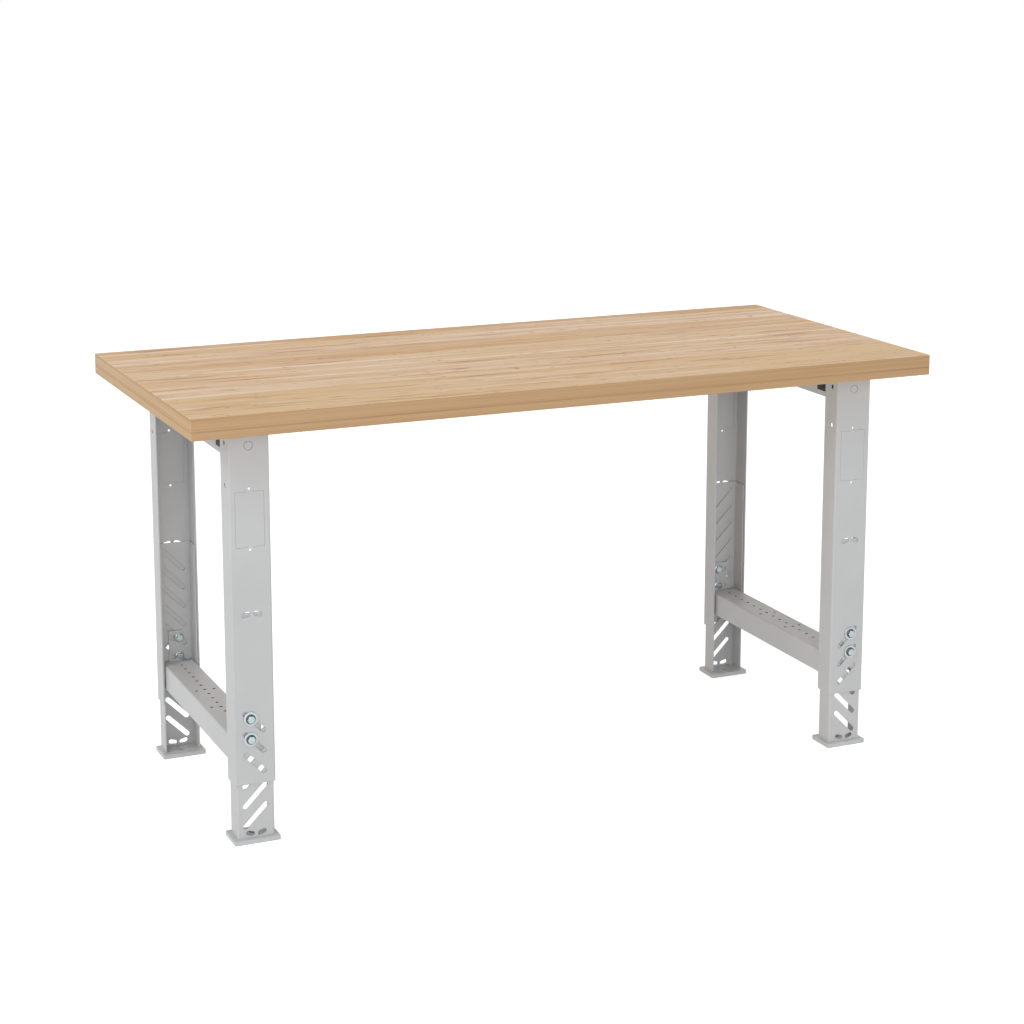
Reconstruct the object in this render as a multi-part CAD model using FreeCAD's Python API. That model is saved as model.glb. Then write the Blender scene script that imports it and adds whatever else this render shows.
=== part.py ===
import FreeCAD, Part
import math
import os
from FreeCAD import Vector

# A steel workbench with a laminated wood top and four legs that adjust in height.
#
# Each side frame is two upper legs under an upper rail, all bent from sheet steel.
# A leg insert on a foot plate slides in each upper leg, and a stretcher joins the
# two inserts of a side. Diagonal slots in the upper leg cross diagonal slots that
# lean the other way in the insert. Two bolts sit where they cross, pass through a
# level slot in the stretcher's end plate, and clamp the three sheets together.
#
# Lengths are in millimetres. Z is up, X runs along the bench and Y from its front
# to its rear. The origin is on the floor, under the middle of the top.

# Overall sizes
bench_height = 908.0
top_length = 1676.0
top_depth = 762.0
top_thickness = 44.5
top_edge_ease = 1.5

# Where the side frames stand under the top
frame_end_inset = 96.4
frame_front_inset = 85.0

# Sheet steel that all bent pieces share
sheet = 2.6
bend_radius = 1.6

# Upper legs
leg_width = 86.0
leg_flange_depth = 50.0
leg_floor_gap = 124.5
flange_corner_clip = 3.0

# Leg inserts that slide inside the upper legs
insert_flange_depth = 42.6
insert_top_height = 484.0
web_gap = 0.3
flange_gap = 0.6

# Diagonal slots of legs and inserts
slot_pitch = 43.2
slot_width = 11.0
slot_angle = 45.0
insert_slot_count = 10
insert_slot_first_height = 55.0
insert_slot_half_reach = 21.5
leg_slot_count = 3
leg_slot_half_reach = 18.9
clamp_insert_slot = 5
clamp_side_offset = 8.0

# Pairs of small slots, one pair in each leg and one above the foot. Like every drop
# below, the leg's is measured down from the underside of the top
small_slot_length = 19.3
small_slot_width = 8.5
small_slot_tilt = 22.0
small_slot_side_offset = 12.5
leg_small_slot_drop = 383.0
insert_small_slot_height = 17.5

# Knock-outs in the webs of the upper legs, cut round but for small tabs
slit_width = 0.9
knockout_tab = 5.0
cable_knockout_width = 60.5
cable_knockout_height = 114.0
cable_knockout_drop = 187.0
pry_hole_diameter = 5.0
pry_hole_spacing = 125.0
round_knockout_diameter = 20.0
round_knockout_drop = 37.5

# Holes in the flanges of the upper legs
flange_hole_diameter = 10.0
flange_hole_setback = 22.0
flange_hole_drops = (118.5, 32.0)

# Foot plates
foot_width = 97.0
foot_depth = 70.0
foot_thickness = 9.5
foot_front_overhang = 9.4
foot_corner_clip = 2.0
anchor_hole_diameter = 14.0
anchor_hole_setback = 33.0

# Upper rails
rail_height = 60.5
rail_end_gap = 2.0
rail_window_start = 12.0
rail_window_length = 73.0
rail_window_height = 32.0
rail_window_lip = 11.5

# Plugs that close the windows of the upper rails, hollow behind
plug_gap = 0.4
plug_inset = 0.6
plug_wall = 2.0
plug_depth = 9.0

# Stretchers
stretcher_top_height = 213.0
stretcher_height = 53.5
stretcher_side_gap = 1.5
stretcher_notch = 17.6
plate_gap = 0.3
tab_width = 32.0
tab_top_height = 280.0
tab_corner_clip = 4.0
tab_slot_reach = 8.0
tab_slot_play = 1.5
end_plate_height = 24.0
row_hole_pitch = 30.4
row_end_margin = 35.0
row_hole_diameter = 6.5
side_hole_spacing = 38.8
side_hole_pair_spacing = 114.0

# Clamp hardware
bolt_diameter = 9.5
bolt_head_flats = 14.3
bolt_head_height = 6.0
bolt_collar_diameter = 19.0
bolt_collar_thickness = 1.8
bolt_end_proud = 1.2
washer_diameter = 30.0
washer_thickness = 2.0
washer_play = 0.5
clamp_gap = 0.3
nut_height = 7.0
nut_flats = 14.3
nut_collar_diameter = 19.0
nut_collar_thickness = 1.5
nut_thread_gap = 0.1

# Screws that hold the top to the upper rails
screw_diameter = 7.9
screw_length = 34.0
screw_head_flats = 12.7
screw_head_height = 5.0
screw_collar_diameter = 18.0
screw_collar_thickness = 1.6
screw_hole_play = 0.6
screw_pilot_gap = 0.1
screw_pilot_spare = 3.0
screw_count = 4
screw_spacing = 125.0

# One overrun that every cutting tool shares, and how near counts as touching
overrun = 1.0
nearness = 0.05

# Flat sides that stand in for a full turn, few on small rounds, so the model stays light
round_sides = 8
washer_sides = 12
slot_end_sides = 4

# Places that several pieces share
top_underside = bench_height - top_thickness
frame_front = frame_front_inset - top_depth / 2
frame_depth = top_depth - 2 * frame_front_inset
leg_centre = top_length / 2 - frame_end_inset - leg_width / 2
leg_inner_width = leg_width - 2 * sheet
leg_height = top_underside - leg_floor_gap
insert_width = leg_inner_width - 2 * flange_gap
insert_inner_width = insert_width - 2 * sheet
insert_setback = sheet + web_gap
plate_setback = insert_setback + sheet + plate_gap
nut_setback = plate_setback + sheet + clamp_gap
stretcher_width = insert_inner_width - 2 * stretcher_side_gap

# The upper bolt stands where a slot of the leg crosses a slot of the insert
slot_slope = math.tan(math.radians(slot_angle))
clamp_insert_slot_height = insert_slot_first_height + clamp_insert_slot * slot_pitch
leg_slot_height = clamp_insert_slot_height - 2 * clamp_side_offset * slot_slope
bolt_height = clamp_insert_slot_height - clamp_side_offset * slot_slope
bolt_heights = (bolt_height, bolt_height - slot_pitch)


def box(x0, y0, z0, x1, y1, z1):
    """Return the block between two opposite corners."""
    return Part.makeBox(x1 - x0, y1 - y0, z1 - z0, Vector(x0, y0, z0))


def prism(points, height):
    """Return the upright prism over a flat polygon."""
    return Part.Face(Part.makePolygon(points + points[:1])).extrude(Vector(0, 0, height))


def turn_points(radius, sides, start=0, sweep=360, x=0):
    """Return points evenly round a turn, or round part of one, about a point on X."""
    steps = sides if sweep == 360 else sides + 1
    points = []
    for step in range(steps):
        angle = math.radians(start + sweep * step / sides)
        points.append(Vector(x + radius * math.cos(angle), radius * math.sin(angle), 0))
    return points


def bar(diameter, z0, z1, sides, x=0, y=0):
    """Return an upright bar of flat sides from height z0 to height z1."""
    solid = prism(turn_points(diameter / 2, sides), z1 - z0)
    solid.translate(Vector(x, y, z0))
    return solid


def arc(centre, radius, start, end):
    """Return a flat arc about centre, from one angle to another in degrees."""
    spots = []
    for angle in (start, (start + end) / 2, end):
        turn = math.radians(angle)
        spots.append(centre + Vector(radius * math.cos(turn), radius * math.sin(turn), 0))
    return Part.Arc(*spots).toShape()


def line(start, end):
    """Return a straight edge."""
    return Part.LineSegment(start, end).toShape()


def clipped_plate(width, depth, thickness, clip):
    """Return a flat plate with clipped corners, centred on the Z axis."""
    x = width / 2
    y = depth / 2
    points = []
    for side_x, side_y in ((1, 1), (-1, 1), (-1, -1), (1, -1)):
        corner = [Vector(side_x * x, side_y * (y - clip), 0),
                  Vector(side_x * (x - clip), side_y * y, 0)]
        points += corner if side_x == side_y else corner[::-1]
    return prism(points, thickness)


def channel(width, depth, height):
    """Return a bent sheet channel: web on the XZ plane, flanges towards +Y."""
    outer = bend_radius + sheet
    half = width / 2
    edges = [line(Vector(outer - half, 0, 0), Vector(half - outer, 0, 0)),
             line(Vector(outer - half, sheet, 0), Vector(half - outer, sheet, 0))]
    for side, start, end in ((-1, 180, 270), (1, 270, 360)):
        centre = Vector(side * (half - outer), outer, 0)
        outside = side * half
        inside = side * (half - sheet)
        edges.append(arc(centre, outer, start, end))
        edges.append(arc(centre, bend_radius, start, end))
        edges.append(line(Vector(outside, outer, 0), Vector(outside, depth, 0)))
        edges.append(line(Vector(inside, outer, 0), Vector(inside, depth, 0)))
        edges.append(line(Vector(outside, depth, 0), Vector(inside, depth, 0)))
    outline = Part.Wire(Part.__sortEdges__(edges))
    return Part.Face(outline).extrude(Vector(0, 0, height))


def leg_channel(width, depth, height):
    """Return an upright channel whose free flange corners are clipped."""
    solid = channel(width, depth, height)
    corners = []
    for edge in solid.Edges:
        middle = edge.CenterOfMass
        at_rim = abs(middle.y - depth) < nearness
        at_end = middle.z < nearness or middle.z > height - nearness
        if at_rim and at_end:
            corners.append(edge)
    return solid.makeChamfer(flange_corner_clip, corners)


def turned_down(solid):
    """Lay an upright channel along +Y, its web on top at height zero."""
    solid = solid.copy()
    solid.rotate(Vector(0, 0, 0), Vector(1, 0, 0), -90)
    return solid


def slot_cutter(length, width, thickness, angle, x, z):
    """Return a round-ended bar through a web, tilted about Y, for cutting a slot."""
    reach = (length - width) / 2
    points = (turn_points(width / 2, slot_end_sides, -90, 180, reach)
              + turn_points(width / 2, slot_end_sides, 90, 180, -reach))
    cutter = prism(points, thickness + 2 * overrun)
    cutter.rotate(Vector(0, 0, 0), Vector(0, 0, 1), angle)
    cutter.rotate(Vector(0, 0, 0), Vector(1, 0, 0), 90)
    cutter.translate(Vector(x, thickness + overrun, z))
    return cutter


def diagonal_slots(first_height, count, half_reach, lean):
    """Return the cutters of a column of diagonal slots, one pitch apart."""
    length = 2 * half_reach / math.cos(math.radians(slot_angle)) + slot_width
    cutters = []
    for number in range(count):
        height = first_height + number * slot_pitch
        cutters.append(slot_cutter(length, slot_width, sheet, lean * slot_angle, 0, height))
    return cutters


def small_slot_pair(height, lean):
    """Return the cutters of two small slots that lean towards or from each other."""
    cutters = []
    for side in (-1, 1):
        x = side * small_slot_side_offset
        tilt = side * lean * small_slot_tilt
        cutters.append(slot_cutter(small_slot_length, small_slot_width, sheet, tilt, x, height))
    return cutters


def web_hole(diameter, sides, z):
    """Return the cutter of a hole in the middle of a web."""
    cutter = bar(diameter, -overrun, sheet + overrun, sides)
    cutter.rotate(Vector(0, 0, 0), Vector(1, 0, 0), -90)
    cutter.translate(Vector(0, 0, z))
    return cutter


def cable_knockout_slits(height):
    """Return the cutters of the slit round the cable knock-out, with its pry holes."""
    half_width = cable_knockout_width / 2
    half_height = cable_knockout_height / 2
    outline = box(-half_width, -overrun, -half_height, half_width, sheet + overrun, half_height)
    panel = box(slit_width - half_width, -overrun, slit_width - half_height,
                half_width - slit_width, sheet + overrun, half_height - slit_width)
    tabs = box(-knockout_tab, -overrun, -half_height, knockout_tab, sheet + overrun, half_height)
    slits = outline.cut(panel).cut(tabs)
    slits.translate(Vector(0, 0, height))
    cutters = list(slits.Solids)
    for side in (-1, 1):
        cutters.append(web_hole(pry_hole_diameter, round_sides,
                                height + side * pry_hole_spacing / 2))
    return cutters


def round_knockout_slit(height):
    """Return the cutter of the slit round the round knock-out, open at one tab."""
    ring = web_hole(round_knockout_diameter, round_sides, height)
    ring = ring.cut(web_hole(round_knockout_diameter - 2 * slit_width, round_sides, height))
    tab = box(-knockout_tab / 2, -overrun, height, knockout_tab / 2, sheet + overrun,
              height + round_knockout_diameter)
    return ring.cut(tab)


def upper_leg():
    """Return the upper leg of the front left corner, its web centred on the Z axis."""
    leg = leg_channel(leg_width, leg_flange_depth, leg_height)
    leg.translate(Vector(0, 0, leg_floor_gap))
    lowest_slot = leg_slot_height - (leg_slot_count - 1) * slot_pitch
    cutters = diagonal_slots(lowest_slot, leg_slot_count, leg_slot_half_reach, -1)
    cutters += small_slot_pair(top_underside - leg_small_slot_drop, -1)
    cutters += cable_knockout_slits(top_underside - cable_knockout_drop)
    cutters.append(round_knockout_slit(top_underside - round_knockout_drop))
    for drop in flange_hole_drops:
        cutter = bar(flange_hole_diameter, -leg_width, leg_width, round_sides)
        cutter.rotate(Vector(0, 0, 0), Vector(0, 1, 0), 90)
        cutter.translate(Vector(0, flange_hole_setback, top_underside - drop))
        cutters.append(cutter)
    return leg.cut(cutters)


def leg_insert():
    """Return the insert that slides in the front left upper leg."""
    insert = leg_channel(insert_width, insert_flange_depth, insert_top_height - foot_thickness)
    insert.translate(Vector(0, 0, foot_thickness))
    cutters = diagonal_slots(insert_slot_first_height, insert_slot_count,
                             insert_slot_half_reach, 1)
    cutters += small_slot_pair(insert_small_slot_height, 1)
    insert = insert.cut(cutters)
    insert.translate(Vector(0, insert_setback, 0))
    return insert


def foot_plate():
    """Return the plate that a leg insert stands on, with its anchor hole."""
    plate = clipped_plate(foot_width, foot_depth, foot_thickness, foot_corner_clip)
    plate.translate(Vector(0, foot_depth / 2 - foot_front_overhang, 0))
    hole = Part.makeCylinder(anchor_hole_diameter / 2, foot_thickness + 2 * overrun,
                             Vector(0, anchor_hole_setback, -overrun))
    return plate.cut(hole)


def hexagon(flats, z0, z1):
    """Return an upright hexagonal prism, given its width across flats."""
    return bar(flats / math.cos(math.radians(30)), z0, z1, 6)


def facing_front(solid, y, z):
    """Point a fastener's head to the front and move it to its place on the web."""
    solid = solid.copy()
    solid.rotate(Vector(0, 0, 0), Vector(1, 0, 0), 90)
    solid.translate(Vector(-clamp_side_offset, y, z))
    return solid


def facing_rear(solid, y, z):
    """Point a fastener's head to the rear and move it to its place on the web."""
    solid = solid.copy()
    solid.rotate(Vector(0, 0, 0), Vector(1, 0, 0), -90)
    solid.translate(Vector(-clamp_side_offset, y, z))
    return solid


def clamp_bolts():
    """Return the two flanged bolts of the front left clamp."""
    head_back = -clamp_gap - washer_thickness
    shank = nut_setback + nut_height + bolt_end_proud - head_back
    head_top = bolt_collar_thickness + bolt_head_height
    bolt = bar(bolt_collar_diameter, 0, bolt_collar_thickness, round_sides)
    bolt = bolt.fuse([hexagon(bolt_head_flats, bolt_collar_thickness, head_top),
                      bar(bolt_diameter, -shank, 0, round_sides)]).removeSplitter()
    return [facing_front(bolt, head_back, height) for height in bolt_heights]


def clamp_washers():
    """Return the two wide washers under the bolt heads."""
    washer = bar(washer_diameter, 0, washer_thickness, washer_sides)
    washer = washer.cut(bar(bolt_diameter + washer_play, -overrun,
                            washer_thickness + overrun, round_sides))
    return [facing_front(washer, -clamp_gap, height) for height in bolt_heights]


def clamp_nuts():
    """Return the two flanged nuts on the inside of the end plate."""
    nut = bar(nut_collar_diameter, 0, nut_collar_thickness, round_sides)
    nut = nut.fuse(hexagon(nut_flats, nut_collar_thickness, nut_height)).removeSplitter()
    nut = nut.cut(bar(bolt_diameter + 2 * nut_thread_gap, -overrun, nut_height + overrun,
                      round_sides))
    return [facing_rear(nut, nut_setback, height) for height in bolt_heights]


def upper_rail():
    """Return the rail between the tops of the two upper legs of a side."""
    start = sheet + rail_end_gap
    length = frame_depth - 2 * start
    rail = turned_down(channel(leg_inner_width, rail_height, length))
    rail.translate(Vector(0, frame_front + start, top_underside))
    window_bottom = top_underside - rail_height + rail_window_lip
    half = leg_width / 2
    cutters = []
    for end in (-1, 1):
        near = frame_depth / 2 - start - rail_window_start
        far = near - rail_window_length
        cutters.append(box(-half, min(end * near, end * far), window_bottom,
                           half, max(end * near, end * far),
                           window_bottom + rail_window_height))
    for y in screw_places():
        cutters.append(bar(screw_diameter + screw_hole_play, top_underside - sheet - overrun,
                           top_underside + overrun, round_sides, 0, y))
    return rail.cut(cutters)


def window_plugs():
    """Return the two plugs that close the windows at the front left end of a rail."""
    outer = plug_inset - leg_inner_width / 2
    inner = outer + plug_depth
    near = sheet + rail_end_gap + rail_window_start + plug_gap
    far = near + rail_window_length - 2 * plug_gap
    low = top_underside - rail_height + rail_window_lip + plug_gap
    high = low + rail_window_height - 2 * plug_gap
    plug = box(outer, near, low, inner, far, high)
    plug = plug.cut(box(outer + plug_wall, near + plug_wall, low + plug_wall,
                        inner + overrun, far - plug_wall, high - plug_wall))
    return [plug, plug.mirror(Vector(0, 0, 0), Vector(1, 0, 0))]


def screw_places():
    """Return the places along a rail where its screws go up into the top."""
    middle = (screw_count - 1) / 2
    return [(number - middle) * screw_spacing for number in range(screw_count)]


def top_screws():
    """Return the screws that go up through one rail into the top."""
    seat = top_underside - sheet
    head_bottom = -screw_collar_thickness - screw_head_height
    screw = bar(screw_collar_diameter, -screw_collar_thickness, 0, round_sides)
    screw = screw.fuse([hexagon(screw_head_flats, head_bottom, -screw_collar_thickness),
                        bar(screw_diameter, 0, screw_length, round_sides)])
    screw = screw.removeSplitter()
    screws = []
    for y in screw_places():
        placed = screw.copy()
        placed.translate(Vector(0, y, seat))
        screws.append(placed)
    return screws


def stretcher():
    """Return the folded channel between the two end plates of a side."""
    end = frame_front + plate_setback + sheet
    length = -2 * end
    beam = turned_down(channel(stretcher_width, stretcher_height, length))
    beam.translate(Vector(0, end, stretcher_top_height))
    flat_half = stretcher_width / 2 - bend_radius - sheet
    below = stretcher_top_height - sheet - overrun
    above = stretcher_top_height + overrun
    cutters = []
    for side in (-1, 1):
        tip = side * (length / 2 + overrun)
        root = side * (length / 2 - stretcher_notch)
        cutters.append(box(-flat_half, min(tip, root), below, flat_half, max(tip, root), above))
    each_way = int((length / 2 - row_end_margin) / row_hole_pitch)
    for number in range(-each_way, each_way + 1):
        y = number * row_hole_pitch
        cutters.append(bar(row_hole_diameter, below, above, round_sides, 0, y))
    for side_x in (-1, 1):
        for side_y in (-1, 1):
            x = side_x * side_hole_spacing / 2
            y = side_y * side_hole_pair_spacing / 2
            cutters.append(Part.makeCylinder(row_hole_diameter / 2, above - below,
                                             Vector(x, y, below)))
    return beam.cut(cutters)


def end_plate():
    """Return the front end plate of a stretcher, with the tab that the bolts clamp."""
    bottom = stretcher_top_height - end_plate_height
    half = stretcher_width / 2
    blank = box(-half, 0, bottom, half, sheet, stretcher_top_height - bend_radius - sheet)
    tab = clipped_plate(tab_width, tab_top_height - bottom, sheet, tab_corner_clip)
    tab.rotate(Vector(0, 0, 0), Vector(1, 0, 0), -90)
    tab.translate(Vector(0, 0, (tab_top_height + bottom) / 2))
    plate = blank.fuse(tab).removeSplitter()
    slot_length = 2 * tab_slot_reach + bolt_diameter + tab_slot_play
    slot_height = bolt_diameter + tab_slot_play
    cutters = []
    for height in bolt_heights:
        cutters.append(slot_cutter(slot_length, slot_height, sheet, 0, 0, height))
    plate = plate.cut(cutters)
    plate.translate(Vector(0, plate_setback, 0))
    return plate


def worktop():
    """Return the laminated top with its eased edges and pilot holes."""
    x = top_length / 2
    y = top_depth / 2
    top = box(-x, -y, top_underside, x, y, bench_height)
    top = top.makeChamfer(top_edge_ease, top.Edges)
    cutters = []
    for side in (-1, 1):
        for place in screw_places():
            depth = screw_length - sheet + screw_pilot_spare
            cutters.append(bar(screw_diameter + 2 * screw_pilot_gap, top_underside - overrun,
                               top_underside + depth, round_sides,
                               side * leg_centre, place))
    return top.cut(cutters)


def at_corner(solids, left, front):
    """Return front left solids moved to one of the four corners of the bench."""
    placed = []
    for solid in solids:
        solid = solid.copy()
        if not left:
            solid = solid.mirror(Vector(0, 0, 0), Vector(1, 0, 0))
        solid.translate(Vector(0, frame_front, 0))
        if not front:
            solid.rotate(Vector(0, 0, 0), Vector(0, 0, 1), 180)
        solid.translate(Vector(-leg_centre if left else leg_centre, 0, 0))
        placed.append(solid)
    return placed


def at_side(solids, left):
    """Return the solids of a side frame moved to the left or the right side."""
    placed = []
    for solid in solids:
        solid = solid.copy()
        solid.translate(Vector(-leg_centre if left else leg_centre, 0, 0))
        placed.append(solid)
    return placed


def build_nodes():
    """Return every piece of the bench under its node name."""
    nodes = {"worktop": [worktop()]}
    sided = {"upper_rail": [upper_rail()], "top_screws": top_screws(),
             "stretcher": [stretcher()]}
    cornered = {"upper_leg": [upper_leg()], "leg_insert": [leg_insert()],
                "foot_plate": [foot_plate()], "stretcher_end_plate": [end_plate()],
                "clamp_bolts": clamp_bolts(), "clamp_washers": clamp_washers(),
                "clamp_nuts": clamp_nuts(), "window_plugs": window_plugs()}
    for side in ("left", "right"):
        left = side == "left"
        for piece, solids in sided.items():
            nodes[side + "_" + piece] = at_side(solids, left)
        for end in ("front", "rear"):
            for piece, solids in cornered.items():
                nodes[end + "_" + side + "_" + piece] = at_corner(solids, left, end == "front")
    return nodes


os.makedirs("parts", exist_ok=True)
for name, solids in build_nodes().items():
    shape = solids[0] if len(solids) == 1 else Part.makeCompound(solids)
    shape.exportStep("parts/" + name + ".step")
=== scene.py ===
"""A steel workbench with a laminated beech top, on four legs that adjust in height.

The sections follow the bench as it is put together: feet, leg inserts, stretchers,
upper legs, rails, clamps, top and screws. Shapes are drawn in millimetres, and each
piece is scaled to metres when it is made. Z is up, X runs along the bench and Y from
its front to its rear, with the origin on the floor under the middle of the top.
"""
import math

import bpy
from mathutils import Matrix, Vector
from mathutils.geometry import delaunay_2d_cdt


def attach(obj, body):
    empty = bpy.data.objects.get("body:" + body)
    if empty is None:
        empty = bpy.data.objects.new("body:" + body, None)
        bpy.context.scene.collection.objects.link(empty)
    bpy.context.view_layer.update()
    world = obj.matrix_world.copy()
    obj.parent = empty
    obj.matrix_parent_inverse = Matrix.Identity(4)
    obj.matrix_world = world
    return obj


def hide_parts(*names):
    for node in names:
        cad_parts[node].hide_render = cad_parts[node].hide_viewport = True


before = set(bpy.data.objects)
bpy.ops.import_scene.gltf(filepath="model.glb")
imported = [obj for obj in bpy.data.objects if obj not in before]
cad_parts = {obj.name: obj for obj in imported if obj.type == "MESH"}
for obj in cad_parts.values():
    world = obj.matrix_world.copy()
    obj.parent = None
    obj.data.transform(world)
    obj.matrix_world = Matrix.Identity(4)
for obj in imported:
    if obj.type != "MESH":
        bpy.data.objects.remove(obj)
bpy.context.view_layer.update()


# Foot plates
# Four flat plates cut from 9.5 mm bar, each with one round hole for a floor anchor.
# They are welded under the leg inserts and powder coated light grey with them.
foot_width = 97.0
foot_depth = 70.0
foot_thickness = 9.5
foot_front_overhang = 9.4
foot_corner = 3.0
foot_ease = 0.8
anchor_hole = 14.0
anchor_setback = 33.0
leg_centre = 698.6
frame_front = -296.0
corner_steps = 5
edge_steps = 3
hole_steps = 40
sharpest_mitre = 0.3
same_place = 0.001
join_reach = 0.00001
sharp_angle = 32.0
ends = ("front", "rear")
sides = ("left", "right")


def linear(code):
    """Return an sRGB hex code as a linear colour."""
    parts = [int(code[i:i + 2], 16) / 255 for i in (1, 3, 5)]
    return tuple(p / 12.92 if p <= 0.04045 else ((p + 0.055) / 1.055) ** 2.4
                 for p in parts) + (1.0,)


def feed(node, inputs):
    """Set a node's inputs to values, or link them to the nodes or sockets given."""
    for name, value in inputs.items():
        if isinstance(value, bpy.types.Node):
            value = value.outputs[0]
        if isinstance(value, bpy.types.NodeSocket):
            node.id_data.links.new(value, node.inputs[name])
        else:
            node.inputs[name].default_value = value


def add(tree, kind, inputs=None, stops=(), **settings):
    """Add a node with its own settings, its inputs and the stops of its colour ramp."""
    node = tree.nodes.new(kind)
    for name, value in settings.items():
        setattr(node, name, value)
    feed(node, inputs or {})
    for number, (place, colour) in enumerate(stops):
        points = node.color_ramp.elements
        point = points[number] if number < 2 else points.new(place)
        point.position = place
        point.color = colour
    return node


def per(size):
    """Return the texture scale that makes a pattern this many millimetres large."""
    return 1000.0 / size


def start_material(name):
    """Return a new material, its node tree, its shader and the place on its piece."""
    material = bpy.data.materials.new(name)
    material.use_nodes = True
    tree = material.node_tree
    place = add(tree, "ShaderNodeTexCoord").outputs["Object"]
    return material, tree, tree.nodes["Principled BSDF"], place


def powder_coat(name, pale, deep):
    """Polyester powder baked on sheet steel: an even satin grey with a faint orange peel.

    The peel is about 1 mm across, and is drawn at 2 mm so that it shows.
    """
    material, tree, shader, place = start_material(name)
    cloud = add(tree, "ShaderNodeTexNoise", {"Vector": place, "Scale": per(140), "Detail": 3})
    tone = add(tree, "ShaderNodeValToRGB", {"Fac": cloud},
               [(0.35, linear(deep)), (0.65, linear(pale))])
    peel = add(tree, "ShaderNodeTexNoise", {"Vector": place, "Scale": per(2.0), "Detail": 2})
    sheen = add(tree, "ShaderNodeMapRange", {"Value": peel, "To Min": 0.38, "To Max": 0.48})
    bump = add(tree, "ShaderNodeBump", {"Height": peel, "Strength": 0.12, "Distance": 0.0002})
    feed(shader, {"Base Color": tone, "Roughness": sheen, "Normal": bump, "IOR": 1.5})
    return material


def turn(x, y, radius, start, end, steps):
    """Return points along an arc, both ends included, with angles in degrees."""
    points = []
    for step in range(steps + 1):
        angle = math.radians(start + (end - start) * step / steps)
        points.append(Vector((x + radius * math.cos(angle), y + radius * math.sin(angle))))
    return points


def round_hole(x, y, diameter):
    """Return the loop of a round hole."""
    return turn(x, y, diameter / 2, 0, 360, hole_steps)[:-1]


def rounded(corners, radius):
    """Return a loop whose corners are rounded."""
    loop = []
    for number, corner in enumerate(corners):
        corner = Vector(corner)
        back = (Vector(corners[number - 1]) - corner).normalized()
        ahead = (Vector(corners[(number + 1) % len(corners)]) - corner).normalized()
        half = back.angle(ahead) / 2
        centre = corner + (back + ahead).normalized() * radius / math.sin(half)
        first = corner + back * radius / math.tan(half) - centre
        last = corner + ahead * radius / math.tan(half) - centre
        for step in range(corner_steps + 1):
            loop.append(centre + first.slerp(last, step / corner_steps).normalized() * radius)
    return loop


def rims(loop):
    """Return the outward direction at each point of a loop, longer at its corners."""
    found = []
    for number, point in enumerate(loop):
        along = (point - loop[number - 1]).normalized()
        onward = (loop[(number + 1) % len(loop)] - point).normalized()
        out = Vector((along.y + onward.y, -along.x - onward.x)).normalized()
        found.append(out / max(out.dot(Vector((along.y, -along.x))), sharpest_mitre))
    return found


def in_metal(point, loops):
    """Say whether a point lies inside the outline and outside every hole."""
    inside = False
    for loop in loops:
        for number, b in enumerate(loop):
            a = loop[number - 1]
            if (a.y > point.y) != (b.y > point.y):
                if point.x < a.x + (b.x - a.x) * (point.y - a.y) / (b.y - a.y):
                    inside = not inside
    return inside


def lie_flat(across, along, height):
    """Return a flat sheet's point and its three directions."""
    return (Vector((across, along, height)), Vector((1, 0, 0)), Vector((0, 1, 0)),
            Vector((0, 0, 1)))


def edge_profile(thickness, ease):
    """Return the steps down a sheet's eased edge: how far in, how high and their tilt."""
    half = thickness / 2
    profile = []
    for step in range(edge_steps + 1):
        tilt = math.radians(90) * step / edge_steps
        profile.append((ease * (1 - math.sin(tilt)), half - ease * (1 - math.cos(tilt)), tilt))
    return profile + [(inset, -height, math.pi - tilt)
                      for inset, height, tilt in profile[::-1]]


def cut_sheet(outline, holes, thickness, ease, fold=lie_flat, creases=(), tight=()):
    """Return points, normals and faces of a sheet cut to an outline, eased and folded.

    The walls of the tight holes come first among the faces.
    """
    profile = edge_profile(thickness, ease)
    loops = [hole[::-1] for hole in tight] + [outline] + [hole[::-1] for hole in holes]
    points, normals, faces = [], [], []
    flat, flat_loops, borders, firsts, lasts = [], [], [], [], []
    for loop in loops:
        out = rims(loop)
        base, size = len(points), len(loop)
        for inset, height, tilt in profile:
            for point, rim in zip(loop, out):
                spot = point - rim * inset
                place, across, along, up = fold(spot.x, spot.y, height)
                side = rim.normalized()
                points.append(place)
                normals.append((across * side.x + along * side.y) * math.sin(tilt)
                               + up * math.cos(tilt))
        for level in range(len(profile) - 1):
            for number in range(size):
                a = base + level * size + number
                b = base + level * size + (number + 1) % size
                faces.append((a, a + size, b + size, b))
        start = len(flat)
        flat_loops.append([point - rim * ease for point, rim in zip(loop, out)])
        flat += flat_loops[-1]
        borders += [(start + number, start + (number + 1) % size) for number in range(size)]
        firsts += range(base, base + size)
        lasts += range(base + (len(profile) - 1) * size, base + len(profile) * size)
    start = sum(len(hole) for hole in tight)
    for crease in creases:
        on_crease = [start + number for number, point in enumerate(outline)
                     if abs(point.x - crease) < same_place]
        on_crease.sort(key=lambda number: flat[number].y)
        borders.append((on_crease[0], on_crease[-1]))
    _, _, triangles, sources, _, _ = delaunay_2d_cdt(flat, borders, [], 0, join_reach)
    for triangle in triangles:
        a, b, c = [sources[n][0] for n in triangle]
        if in_metal((flat[a] + flat[b] + flat[c]) / 3, flat_loops):
            if (flat[b] - flat[a]).cross(flat[c] - flat[a]) < 0:
                b, c = c, b
            faces.append((firsts[a], firsts[b], firsts[c]))
            faces.append((lasts[a], lasts[c], lasts[b]))
    return points, normals, faces


def at_corner(point, end, side):
    """Move a point from the front left corner's own axes to its corner of the bench.

    There, X is measured from the leg's middle and Y from its outer face.
    """
    x, y = point.x * (1 if side == "left" else -1), point.y + frame_front
    if end == "rear":
        x, y = -x, -y
    return Vector((x + (-leg_centre if side == "left" else leg_centre), y, point.z))


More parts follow.
